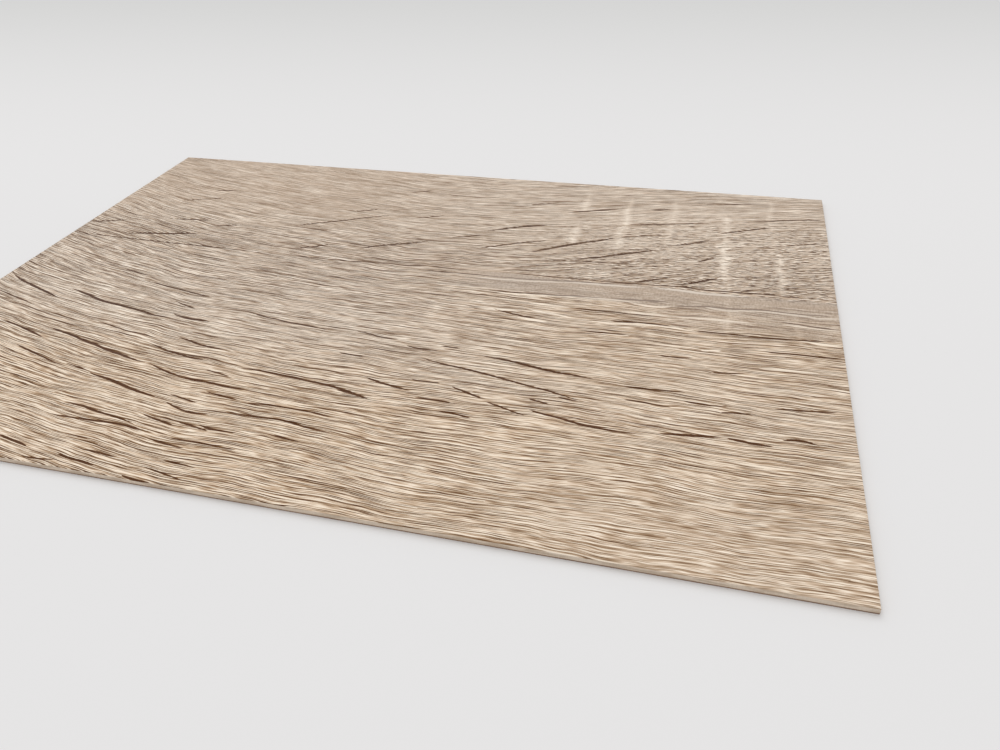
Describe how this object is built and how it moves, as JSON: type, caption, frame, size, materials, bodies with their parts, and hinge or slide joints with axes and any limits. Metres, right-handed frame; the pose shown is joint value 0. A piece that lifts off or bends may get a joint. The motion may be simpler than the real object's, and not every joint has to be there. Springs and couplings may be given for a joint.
{
  "type": "self-adhesive wall panel",
  "caption": "Thin rectangular wall panel with an embossed pale oak decor face, an adhesive film on its back and a release liner under it.",
  "frame": {"origin": "centre of the release liner's underside, which is the face that the panel lies on", "axes": "+X along the grain and the longer side, +Y across the grain, +Z out of the decor face"},
  "size_m": [0.21, 0.15, 0.0012],
  "materials": {
    "decor_oak": "embossed matt pale oak decor on a greige filled vinyl board",
    "adhesive": "clear, slightly yellow pressure-sensitive adhesive film",
    "liner_paper": "brown kraft release paper, faintly glossy"
  },
  "bodies": {
    "root": {"decor_board": "decor_oak", "adhesive_film": "adhesive", "release_liner": "liner_paper"}
  },
  "joints": []
}
